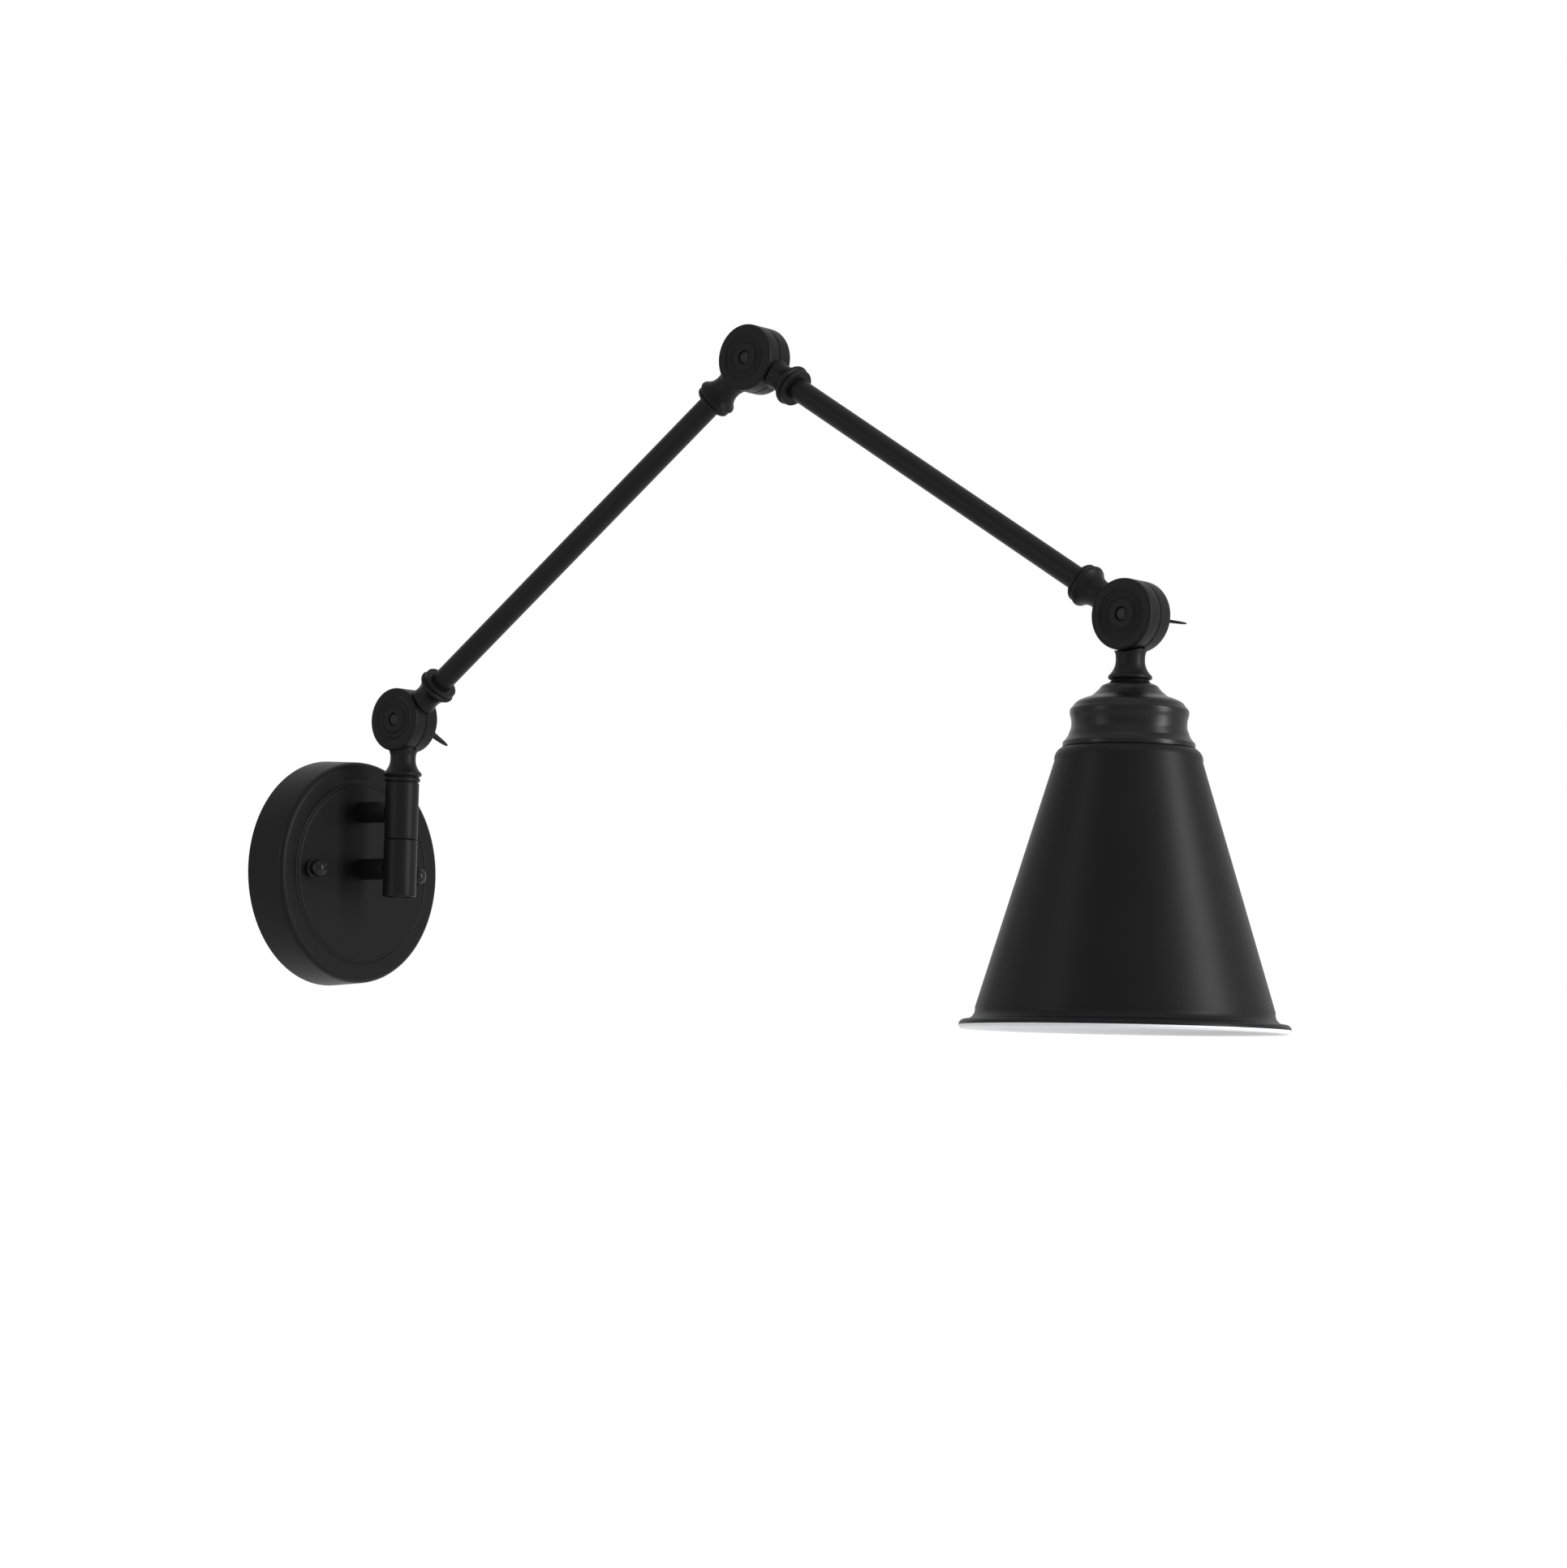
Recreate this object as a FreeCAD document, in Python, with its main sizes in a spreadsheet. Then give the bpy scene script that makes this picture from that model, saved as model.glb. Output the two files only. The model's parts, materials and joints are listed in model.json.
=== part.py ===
import FreeCAD, Part
import math
import os
import re

import Sketcher

Vector = FreeCAD.Vector

# Articulating wall lamp, in millimetres. The wall is the plane Y = 0, the lamp stands out
# along -Y and +Z is up. The origin is the centre of the canopy's back, on the wall.
# The arms lie in the plane X = 0, and every knuckle turns about an axis along X.

os.makedirs("parts", exist_ok=True)
doc = FreeCAD.newDocument("WallLamp")
sheet = doc.addObject("Spreadsheet::Sheet", "Sizes")

sizes = {
    # canopy, the round cover on the wall
    "canopy_radius": 63.5, "canopy_taper": 1.4, "canopy_depth": 25.0, "canopy_wall": 1.2,
    "canopy_round": 3.0, "panel_margin": 14.0, "panel_groove": 2.4, "panel_sink": 1.0,
    "drain_radius": 2.2, "drain_height": 6.0,
    # mounting plate behind the canopy
    "plate_room": 8.3, "plate_thickness": 2.5, "plate_bore": 9.0, "box_spacing": 88.9,
    "box_hole": 5.0, "slot_step": 18.9, "slot_length": 9.0,
    # canopy screws and their ball nuts
    "canopy_screw_spacing": 79.0, "canopy_screw_radius": 2.1, "ball_radius": 4.9,
    "ball_collar": 2.6, "screw_hole_play": 0.3,
    # posts and barrels that carry the swivel
    "reach": 55.2, "post_radius": 6.0, "stub_radius": 4.8, "stub_length": 9.0, "post_bore": 3.2,
    "post_nut_flats": 15.0, "barrel_wall": 1.55, "barrel_length": 31.8, "barrel_seam": 0.3,
    "barrel_foot": 14.2, "barrel_edge": 0.8, "cup_depth": 13.0, "cup_play": 0.3,
    "plug_thickness": 3.0,
    # swivel stem
    "stem_radius": 4.0, "stem_bore": 2.4, "stem_play": 0.08, "swivel_washer": 0.5,
    "nut_flats": 13.0, "nut_height": 3.2, "washer_thickness": 1.0, "stem_insert": 11.0,
    # knuckles
    "knuckle_radius": 17.6, "knuckle_half": 9.0, "knuckle_round": 1.5,
    "knuckle_seam": 0.5, "knuckle_gap": 0.8, "rim_width": 2.9, "dish_depth": 1.3,
    "ridge_radius": 9.8, "ridge_width": 1.6, "boss_step": 1.1, "pocket_rim": 5.0,
    "pocket_hub": 6.2, "pocket_depth": 5.2,
    # necks between a knuckle and its tube, from the knuckle's edge outward
    "neck_waist": 7.2, "neck_flare": 7.9, "waist_step": 4.2, "bell_height": 8.6,
    "bead_radius": 10.9, "ring_radius": 10.0, "ring_step": 1.9, "ring_width": 2.2,
    "head_ring_width": 0.8, "socket_depth": 8.5, "socket_play": 0.05, "wire_bore": 3.0,
    # knuckle screws and wing nuts
    "pin_radius": 2.5, "pin_play": 0.1, "head_radius": 3.4, "pin_end": 12.5,
    "wing_hub_radius": 4.9, "wing_hub_height": 9.0, "wing_span": 18.6, "wing_height": 14.6,
    "wing_thickness": 1.8, "wing_root": 3.2, "wing_washer_radius": 6.2,
    "wing_washer_thickness": 1.2,
    # arms
    "tube_radius": 6.0, "tube_wall": 1.0, "lower_length": 306.5, "upper_length": 283.6,
    "lower_rise": 35.94, "upper_rise": -31.86,
    "wall_wing_angle": -48.0, "elbow_wing_angle": -45.0, "head_wing_angle": -8.0,
    # cap above the shade, each height from the one above it
    "cap_crown": 11.0, "cap_shoulder": 18.6, "cap_shoulder_drop": 6.5, "cap_radius": 28.9,
    "cap_corner": 5.2, "cap_corner_drop": 7.0, "cap_waist_in": 0.7, "cap_waist_drop": 5.4,
    "cap_rim_out": 3.3, "cap_rim_drop": 10.4, "cap_rim_height": 2.4, "cap_wall": 1.2,
    # shade
    "shoulder_width": 4.0, "shoulder_drop": 6.8, "shade_rim_radius": 80.1, "shade_bead": 2.3,
    "lip_width": 7.6, "lip_height": 5.0, "shade_height": 137.0, "shade_wall": 1.0,
    "shade_hole_play": 1.2,
    # lampholder
    "holder_wall": 3.6, "holder_rise": 14.8, "holder_lip": 4.5, "flange_width": 5.3,
    "flange_thickness": 3.0, "floor_drop": 1.2, "shell_bore": 13.3, "shell_wall": 0.5,
    "shell_room": 0.8, "shell_length": 24.0, "shell_seat": 3.4, "contact_radius": 4.0,
    "contact_height": 3.0, "nipple_radius": 5.0, "nipple_bore": 3.4, "nipple_nut_flats": 15.0,
    "ring_height": 4.0, "ring_overhang": 1.0, "thread_play": 0.1,
}
# Sizes that follow from others, so that what fits together keeps together.
derived = {
    "panel_radius": "canopy_radius - panel_margin",
    "plate_radius": "canopy_radius - canopy_wall - plate_room",
    "slot_spacing": "box_spacing - slot_step",
    "cup_radius": "nut_flats / sqrt(3) + cup_play",
    "barrel_radius": "cup_radius + barrel_wall",
    "boss_radius": "ridge_radius - ridge_width - boss_step",
    "pocket_radius": "knuckle_radius - pocket_rim",
    "waist_place": "knuckle_radius + waist_step",
    "bead_place": "waist_place + bell_height",
    "neck_length": "bead_place + ring_step + ring_width",
    "head_neck_length": "bead_place + ring_step + head_ring_width",
    "knuckle_height": "2 * barrel_length + barrel_seam - barrel_foot + swivel_washer + neck_length",
    "cap_shoulder_place": "head_neck_length + cap_shoulder_drop",
    "cap_corner_place": "cap_shoulder_place + cap_corner_drop",
    "cap_waist": "cap_radius - cap_waist_in",
    "cap_waist_place": "cap_corner_place + cap_waist_drop",
    "cap_rim": "cap_radius + cap_rim_out",
    "cap_rim_place": "cap_waist_place + cap_rim_drop",
    "cap_end": "cap_rim_place + cap_rim_height",
    "shade_start": "cap_rim - 0.2",
    "shade_top_radius": "shade_start + shoulder_width",
    "shade_top_place": "cap_end + shoulder_drop",
    "shade_end": "cap_end + shade_height",
    "shade_skirt": "shade_rim_radius - lip_width",
    "shade_skirt_place": "shade_end - 2 * shade_bead - lip_height",
    "lip_radius": "hypot(lip_width - shade_bead; lip_height) * 0.82",
    "shoulder_radius": "hypot(shoulder_width; shoulder_drop) * 0.95",
    "holder_bore": "shell_bore + shell_wall + shell_room",
    "holder_radius": "holder_bore + holder_wall",
    "shade_hole": "holder_radius + shade_hole_play",
    "holder_flange": "holder_radius + flange_width",
    "ring_outer": "holder_flange + ring_overhang",
    "holder_top": "cap_end - holder_rise",
    "holder_floor": "cap_end + floor_drop",
    "holder_end": "holder_floor + shell_seat + shell_length + holder_lip",
}
for row, (name, value) in enumerate(sizes.items(), 1):
    sheet.set("A%d" % row, name.replace("_", " "))
    sheet.set("B%d" % row, str(value))
    sheet.setAlias("B%d" % row, name)
doc.recompute()


def bound(text):
    """The same sum, with each derived size written out and each size read from the sheet."""
    def known(word):
        name = word.group()
        if name in derived:
            return "(" + bound(derived[name]) + ")"
        return "Sizes." + name if name in sizes else name
    return re.sub(r"[a-z][a-z_]+", known, str(text))


def number(text):
    value = sheet.evalExpression(bound(text))
    return float(getattr(value, "Value", value))


# Places of the knuckles, as sums of the sizes.
cosine = "cos(%s * 1deg)"
sine = "sin(%s * 1deg)"
wall_place = ("-reach", "knuckle_height")
elbow_place = ("-(reach + lower_length * " + cosine % "lower_rise" + ")",
               "knuckle_height + lower_length * " + sine % "lower_rise")
head_place = (elbow_place[0][:-1] + " + upper_length * " + cosine % "upper_rise" + ")",
              elbow_place[1] + " + upper_length * " + sine % "upper_rise")


def place(thing, along, up, turn="rotation(vector(1; 0; 0); 0)", across="0"):
    """Placement at X = across, Y = along, Z = up."""
    thing.setExpression("Placement", bound("placement(vector(%s; %s; %s); %s)"
                                           % (across, along, up, turn)))


def toward(rise, roll="0"):
    """Turn that points the local Z along the arm direction of this elevation."""
    return ("rotation(vector(1; 0; 0); 90 - (%s)) * rotation(vector(0; 0; 1); %s)" % (rise, roll))


outward = toward("0")
downward = toward("-90")
sideways = "rotation(vector(0; 1; 0); 90)"


def body(label):
    made = doc.addObject("PartDesign::Body", label)
    made.Label = label
    return made


def sketch(owner, plane):
    made = owner.newObject("Sketcher::SketchObject", owner.Name + "_outline")
    base = [part for part in owner.Origin.OriginFeatures if part.Role == plane][0]
    made.AttachmentSupport = [(base, "")]
    made.MapMode = "FlatFace"
    return made


def dimension(owner, *items):
    """One driving dimension, bound to a sum of sizes."""
    text = items[-1]
    place_in_list = owner.addConstraint(Sketcher.Constraint(*items[:-1], number(text)))
    owner.setExpression("Constraints[%d]" % place_in_list, bound(text))


def outline(owner, points):
    """Closed outline. A point is (across, along), or (across, along, radius, way) where the
    line that arrives there is an arc that turns left (way 1) or right (way -1)."""
    ends = []
    spots = [Vector(number(point[0]), number(point[1]), 0) for point in points]
    for index, point in enumerate(points):
        start, end = spots[index - 1], spots[index]
        if len(point) == 2:
            ends.append((owner.addGeometry(Part.LineSegment(start, end)), 1, 2))
            continue
        radius, way = number(point[2]), point[3]
        half = (end - start) * 0.5
        rise = math.sqrt(max(radius ** 2 - half.Length ** 2, 0.0)) * way
        middle = start + half + Vector(-half.y, half.x, 0).normalize() * rise
        first, last = (start, end) if way > 0 else (end, start)
        angles = [math.atan2(spot.y - middle.y, spot.x - middle.x) for spot in (first, last)]
        if angles[1] < angles[0]:
            angles[1] += 2 * math.pi
        arc = Part.ArcOfCircle(Part.Circle(middle, Vector(0, 0, 1), radius), *angles)
        ends.append((owner.addGeometry(arc),) + ((1, 2) if way > 0 else (2, 1)))
    for index, (line, start, end) in enumerate(ends):
        after = ends[(index + 1) % len(ends)]
        owner.addConstraint(Sketcher.Constraint("Coincident", line, end, after[0], after[1]))
        dimension(owner, "DistanceX", -1, 1, line, end, points[index][0])
        dimension(owner, "DistanceY", -1, 1, line, end, points[index][1])
        if len(points[index]) == 4:
            dimension(owner, "Radius", line, points[index][2])


def rings(owner, spots, radius):
    """Circles at the spots, all of one bound radius."""
    for across, along in spots:
        line = owner.addGeometry(Part.Circle(Vector(number(across), number(along), 0),
                                             Vector(0, 0, 1), number(radius)))
        dimension(owner, "DistanceX", -1, 1, line, 3, across)
        dimension(owner, "DistanceY", -1, 1, line, 3, along)
        dimension(owner, "Radius", line, radius)


def turned(owner, points, axis="V_Axis", cut=False):
    """Revolution, or groove, of an outline in the local XZ plane."""
    drawn = sketch(owner, "XZ_Plane")
    outline(drawn, points)
    kind = "PartDesign::Groove" if cut else "PartDesign::Revolution"
    made = owner.newObject(kind, owner.Name + ("_groove" if cut else "_turned"))
    made.Profile = drawn
    made.ReferenceAxis = (drawn, [axis])
    made.Angle = 360
    return made


def turned_body(label, points):
    made = body(label)
    turned(made, points)
    return made


def holes(owner, spots, radius, plane="XY_Plane"):
    """Round holes right through, across the plane."""
    drawn = sketch(owner, plane)
    rings(drawn, spots, radius)
    made = owner.newObject("PartDesign::Pocket", owner.Name + "_holes")
    made.Profile = drawn
    made.Type = "ThroughAll"
    made.Midplane = True
    return made


def tube(label, outer, inner, start, end):
    return turned_body(label, [(inner, start), (outer, start), (outer, end), (inner, end)])


def hexagon(label, flats, bore, height):
    """Plain hexagon nut, its seat at local Z = 0."""
    block = doc.addObject("Part::Prism", label + "_block")
    block.setExpression("Circumradius", bound("(%s) / sqrt(3)" % flats))
    block.setExpression("Height", bound(height))
    core = doc.addObject("Part::Cylinder", label + "_bore")
    core.setExpression("Radius", bound(bore))
    core.setExpression("Height", bound(height))
    nut = doc.addObject("Part::Cut", label)
    nut.Base, nut.Tool, nut.Label = block, core, label
    return nut


# ---- canopy, with the panel's groove turned into its face ----
canopy = body("canopy")
front = "canopy_depth"
mouth = "canopy_radius - canopy_taper"
turned(canopy, [
    ("canopy_radius - canopy_wall", "0"),
    ("canopy_radius", "0"),
    (mouth, front + " - canopy_round"),
    (mouth + " - canopy_round", front, "canopy_round", 1),
    ("panel_radius + panel_groove", front),
    ("panel_radius + panel_groove / 2", front + " - panel_sink"),
    ("panel_radius", front + " - panel_sink"),
    ("panel_radius - panel_groove / 2", front),
    ("0", front),
    ("0", front + " - panel_sink - canopy_wall"),
    (mouth + " - canopy_wall - canopy_round", front + " - panel_sink - canopy_wall"),
    (mouth + " - canopy_wall", front + " - panel_sink - canopy_wall - canopy_round",
     "canopy_round", -1),
])
lower_post_height = "barrel_length / 2 - barrel_foot"
upper_post_height = lower_post_height + " + barrel_length + barrel_seam"
holes(canopy, [("canopy_screw_spacing / 2", "0"), ("-canopy_screw_spacing / 2", "0")],
      "canopy_screw_radius + screw_hole_play")
holes(canopy, [("0", lower_post_height), ("0", upper_post_height)],
      "stub_radius + socket_play")
# Drain hole low in the side wall, near the wall edge.
drain = sketch(canopy, "XZ_Plane")
rings(drain, [("0", "drain_height")], "drain_radius")
drained = canopy.newObject("PartDesign::Pocket", "canopy_drain")
drained.Profile = drain
drained.Type = "ThroughAll"
drained.Reversed = True
place(canopy, "0", "0", outward)

# ---- mounting plate, screwed to the junction box ----
plate = body("mounting_plate")
turned(plate, [("plate_bore", "0"), ("plate_radius", "0"), ("plate_radius", "plate_thickness"),
               ("plate_bore", "plate_thickness")])
holes(plate, [("0", "box_spacing / 2"), ("0", "-box_spacing / 2")], "box_hole / 2")
holes(plate, [("canopy_screw_spacing / 2", "0"), ("-canopy_screw_spacing / 2", "0")],
      "canopy_screw_radius")
slots = sketch(plate, "XY_Plane")
near, far = "(slot_spacing - slot_length) / 2", "(slot_spacing + slot_length) / 2"
for low, high in ((near, far), ("-" + far, "-" + near)):
    outline(slots, [("box_hole / 2", low, "box_hole * 0.52", 1), ("box_hole / 2", high),
                    ("-box_hole / 2", high, "box_hole * 0.52", 1), ("-box_hole / 2", low)])
slotted = plate.newObject("PartDesign::Pocket", "mounting_plate_slots")
slotted.Profile = slots
slotted.Type = "ThroughAll"
slotted.Midplane = True
place(plate, "0", "0", outward)

# ---- canopy screws and the ball nuts that show on its face ----
for label, side in (("left", "-"), ("right", "")):
    across = side + "canopy_screw_spacing / 2"
    screw = turned_body("canopy_screw_" + label, [
        ("0", "0"), ("canopy_screw_radius", "0"),
        ("canopy_screw_radius", "canopy_depth + ball_collar"), ("0", "canopy_depth + ball_collar")])
    place(screw, "0", "0", outward, across)
    nut = turned_body("cap_nut_" + label, [
        ("canopy_screw_radius", "0"), ("ball_radius * 0.95", "0"),
        ("ball_radius * 0.95", "ball_collar * 0.7"), ("ball_radius * 0.75", "ball_collar"),
        ("0", "ball_collar + ball_radius * (1 + sqrt(1 - 0.75 * 0.75))", "ball_radius", 1),
        ("0", "ball_collar"), ("canopy_screw_radius", "ball_collar")])
    place(nut, "-canopy_depth", "0", outward, across)

# ---- posts: shank to the barrel, stub through the canopy, nut and washer behind it ----
for label, height in (("lower", lower_post_height), ("upper", upper_post_height)):
    post = turned_body(label + "_post", [
        ("post_bore", "0"), ("stub_radius", "0"), ("stub_radius", "stub_length"),
        ("post_radius", "stub_length"), ("post_radius", "stub_length + reach - canopy_depth"),
        ("post_bore", "stub_length + reach - canopy_depth")])
    coped = sketch(post, "YZ_Plane")
    rings(coped, [("0", "stub_length + reach - canopy_depth")], "barrel_radius")
    cope = post.newObject("PartDesign::Pocket", label + "_post_cope")
    cope.Profile = coped
    cope.Type = "ThroughAll"
    cope.Midplane = True
    place(post, "stub_length - canopy_depth", height, outward + " * rotation(vector(0; 0; 1); 90)")
    behind = "panel_sink + canopy_wall + washer_thickness - canopy_depth"
    washer = tube(label + "_post_washer", "stub_radius * 1.75", "stub_radius + socket_play",
                  "0", "washer_thickness")
    place(washer, behind, height, outward)
    nut = hexagon(label + "_post_nut", "post_nut_flats", "stub_radius", "nut_height")
    place(nut, behind + " + nut_height", height, outward)

# ---- barrels: the lower one takes the stem's nut in a cup, closed by a plug ----
bore = "stem_radius + stem_play"
foot = "-barrel_foot"
lower_barrel = turned_body("lower_barrel", [
    ("cup_radius", "0"), ("barrel_radius - barrel_edge", "0"),
    ("barrel_radius", "barrel_edge"), ("barrel_radius", "barrel_length - barrel_edge"),
    ("barrel_radius - barrel_edge", "barrel_length"), (bore, "barrel_length"),
    (bore, "cup_depth"), ("cup_radius", "cup_depth")])
place(lower_barrel, "-reach", foot)
upper_barrel = turned_body("upper_barrel", [
    (bore, "0"), ("barrel_radius - barrel_edge", "0"),
    ("barrel_radius", "barrel_edge"), ("barrel_radius", "barrel_length - barrel_edge"),
    ("barrel_radius - barrel_edge", "barrel_length"), (bore, "barrel_length")])
place(upper_barrel, "-reach", foot + " + barrel_length + barrel_seam")
spacer = tube("barrel_spacer", "barrel_radius - barrel_edge * 2", bore, "0", "barrel_seam")
place(spacer, "-reach", foot + " + barrel_length")
plug = turned_body("barrel_plug", [
    ("0", "0"), ("cup_radius", "0"), ("cup_radius", "plug_thickness"), ("0", "plug_thickness")])
place(plug, "-reach", foot)

# ---- swivel: hollow stem in the barrels, carrying the wall knuckle's front half ----
shoulder = "cup_depth - barrel_foot"
barrel_top = "2 * barrel_length + barrel_seam - barrel_foot"
neck_end = "knuckle_height - neck_length"
stem_foot = shoulder + " - washer_thickness - nut_height - 1"
stem = tube("pivot_stem", "stem_radius", "stem_bore", "0",
            neck_end + " + stem_insert - (" + stem_foot + ")")
place(stem, "-reach", stem_foot)
washer = tube("stem_washer", "cup_radius - 0.6", "stem_radius", "0", "washer_thickness")
place(washer, "-reach", shoulder + " - washer_thickness")
nut = hexagon("stem_nut", "nut_flats", "stem_radius", "nut_height")
place(nut, "-reach", shoulder + " - washer_thickness - nut_height")
washer = tube("swivel_washer", "barrel_radius - barrel_edge", bore, "0",
              neck_end + " - (" + barrel_top + ")")
place(washer, "-reach", barrel_top)


def knuckle_half(label, place_of, rise, front, socket, depth, head=False):
    """Half knuckle with its neck. Local Z runs along the neck, local X is the pin's axis, and
    the half lies on the +X side of the seam at X = 0. The socket holds a tube or a stem."""
    made = body(label)
    length = "head_neck_length" if head else "neck_length"
    start = length + " - " + depth
    ring = [("ring_radius", length)] if head else [
        ("ring_radius", length + " - ring_width"), ("ring_radius", length + " - 0.5"),
        ("ring_radius - 0.5", length)]
    turned(made, [
        ("wire_bore", "pocket_radius - 1"), ("neck_flare * 0.9", "pocket_radius - 1"),
        ("neck_flare", "knuckle_radius - 3"), ("neck_flare", "knuckle_radius + 1"),
        ("neck_waist", "waist_place"),
        ("bead_radius - 0.6", "bead_place - 1.2", "hypot(bell_height; 3.5)", -1),
        ("bead_radius", "bead_place - 0.4"), ("bead_radius", "bead_place + 0.4"),
        ("ring_radius - 0.6", "bead_place + 0.8 * ring_step")] + ring + [
        (socket, length), (socket, start), ("wire_bore", start)])
    # Clearance for the other half, which turns on the far side of the seam.
    clear = sketch(made, "YZ_Plane")
    clear.setExpression("AttachmentOffset.Base.z", bound("knuckle_seam / 2"))
    rings(clear, [("0", "0")], "knuckle_radius + knuckle_gap")
    room = made.newObject("PartDesign::Pocket", label + "_clearance")
    room.Profile = clear
    room.Type = "ThroughAll"
    # The disc, with the dish, ridge and boss turned into its face and the wire's ring-shaped
    # pocket in its seam side.
    half, seam = "knuckle_half", "knuckle_seam / 2"
    floor = "knuckle_half - dish_depth"
    face_bore, sink = "pin_radius + pin_play", []
    if front:
        face_bore = "head_radius + pin_play"
        sink = [(floor + " - 1", face_bore), (floor + " - 1", "pin_radius + pin_play")]
    turned(made, [
        (seam, "pin_radius + pin_play"), (seam, "pocket_hub"), ("pocket_depth", "pocket_hub"),
        ("pocket_depth", "pocket_radius"), (seam, "pocket_radius"), (seam, "knuckle_radius"),
        (half + " - knuckle_round", "knuckle_radius"),
        (half, "knuckle_radius - knuckle_round", "knuckle_round", -1),
        (half, "knuckle_radius - knuckle_round - rim_width"),
        (floor, "ridge_radius + ridge_width"), (half, "ridge_radius"),
        (floor, "ridge_radius - ridge_width"), (half, "boss_radius"),
        (half, face_bore)] + sink, axis="H_Axis")
    place(made, *place_of, toward(rise, "180" if front else "0"))
    return made


def knuckle_screw(name, place_of, wing_angle):
    """Screw with a domed head sunk in the front face, and its wing nut behind the back face.
    Local Z runs along the pin, from the front of the lamp to the back."""
    head_seat = "knuckle_half - dish_depth - 1"
    screw = turned_body(name + "_screw", [
        ("0", "-" + "knuckle_half + 0.4"), ("head_radius", "-knuckle_half + 0.9", "14", 1),
        ("head_radius", "-(" + head_seat + ")"), ("pin_radius", "-(" + head_seat + ")"),
        ("pin_radius", "knuckle_half + pin_end"), ("0", "knuckle_half + pin_end")])
    turn = "rotation(vector(1; 0; 0); 0) * " + sideways
    place(screw, *place_of, turn)
    washer = tube(name + "_wing_washer", "wing_washer_radius", "pin_radius + pin_play",
                  "knuckle_half", "knuckle_half + wing_washer_thickness")
    place(washer, *place_of, turn)
    disc = tube(name + "_friction_washer", "pocket_hub", "pin_radius + pin_play",
                "-knuckle_seam / 2", "knuckle_seam / 2")
    place(disc, *place_of, turn)
    seat = "knuckle_half + wing_washer_thickness"
    nut = body(name + "_wing_nut")
    turned(nut, [("pin_radius + pin_play", seat), ("wing_hub_radius", seat),
                 ("wing_hub_radius", seat + " + wing_hub_height * 0.6"),
                 ("wing_hub_radius * 0.8", seat + " + wing_hub_height"),
                 ("pin_radius + pin_play", seat + " + wing_hub_height")])
    for side, way in (("", 1), ("-", -1)):
        wings = sketch(nut, "XZ_Plane")
        outline(wings, [
            (side + "wing_root", seat + " + 0.6"), (side + "wing_hub_radius", seat + " + 0.6"),
            (side + "wing_span * 0.88", seat + " + wing_height * 0.48"),
            (side + "wing_span", seat + " + wing_height * 0.74", "wing_span * 0.25", way),
            (side + "wing_span * 0.82", seat + " + wing_height", "wing_span * 0.18", way),
            (side + "wing_hub_radius", seat + " + wing_hub_height * 0.9", "wing_span * 0.85", -way),
            (side + "wing_root", seat + " + wing_hub_height * 0.9")])
        blade = nut.newObject("PartDesign::Pad", name + "_wing" + ("_left" if way > 0 else "_right"))
        blade.Profile = wings
        blade.setExpression("Length", bound("wing_thickness"))
        blade.Midplane = True
    place(nut, *place_of, "rotation(vector(1; 0; 0); -%s - 90) * %s" % (wing_angle, sideways))


tube_socket = ("tube_radius + socket_play", "socket_depth")
stem_socket = ("stem_radius + socket_play", "stem_insert")
nipple_socket = ("nipple_radius + socket_play", "socket_depth")

knuckle_half("wall_knuckle_front", wall_place, "-90", True, *stem_socket)
knuckle_half("wall_knuckle_back", wall_place, "lower_rise", False, *tube_socket)
knuckle_screw("wall", wall_place, "wall_wing_angle")
knuckle_half("elbow_front", elbow_place, "180 + lower_rise", True, *tube_socket)
knuckle_half("elbow_back", elbow_place, "upper_rise", False, *tube_socket)
knuckle_screw("elbow", elbow_place, "elbow_wing_angle")
knuckle_half("head_knuckle_front", head_place, "180 + upper_rise", True, *tube_socket)
knuckle_half("head_knuckle_back", head_place, "-90", False, *nipple_socket,
             head=True)
knuckle_screw("head", head_place, "head_wing_angle")

# ---- arm tubes, each end in the socket of a neck ----
tube_start = "neck_length - socket_depth"
for name, place_of in (("lower", wall_place), ("upper", elbow_place)):
    arm = tube(name + "_tube", "tube_radius", "tube_radius - tube_wall", tube_start,
               "%s_length - (%s)" % (name, tube_start))
    place(arm, *place_of, toward(name + "_rise"))

# ---- shade head. Local Z runs down from the head knuckle's centre ----
crown = "head_neck_length"
cap = turned_body("shade_cap", [
    ("nipple_radius + socket_play", crown), ("cap_crown", crown),
    ("cap_crown + 4", crown + " + 3"), ("cap_shoulder", "cap_shoulder_place"),
    ("cap_radius - cap_corner", "cap_corner_place - cap_corner", "cap_corner * 3.2", -1),
    ("cap_radius", "cap_corner_place", "cap_corner * 1.01", 1),
    ("cap_waist", "cap_waist_place"),
    ("cap_rim", "cap_rim_place", "cap_corner * 4.6", -1), ("cap_rim", "cap_end"),
    ("cap_rim - cap_wall", "cap_end"), ("cap_rim - cap_wall", "cap_rim_place + 0.3"),
    ("cap_waist - cap_wall", "cap_waist_place + 0.3", "cap_corner * 4.6", 1),
    ("cap_radius - cap_wall", "cap_corner_place + 0.3"),
    ("cap_radius - cap_wall - cap_corner * 0.8", "cap_corner_place - cap_corner * 0.6",
     "cap_corner * 0.9", -1),
    ("cap_shoulder - cap_wall", "cap_shoulder_place + cap_wall"),
    ("cap_crown + 4 - cap_wall", crown + " + 3 + cap_wall"), ("cap_crown", crown + " + cap_wall * 1.6"),
    ("nipple_radius + socket_play", crown + " + cap_wall * 1.6")])
place(cap, *head_place, downward)

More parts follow.
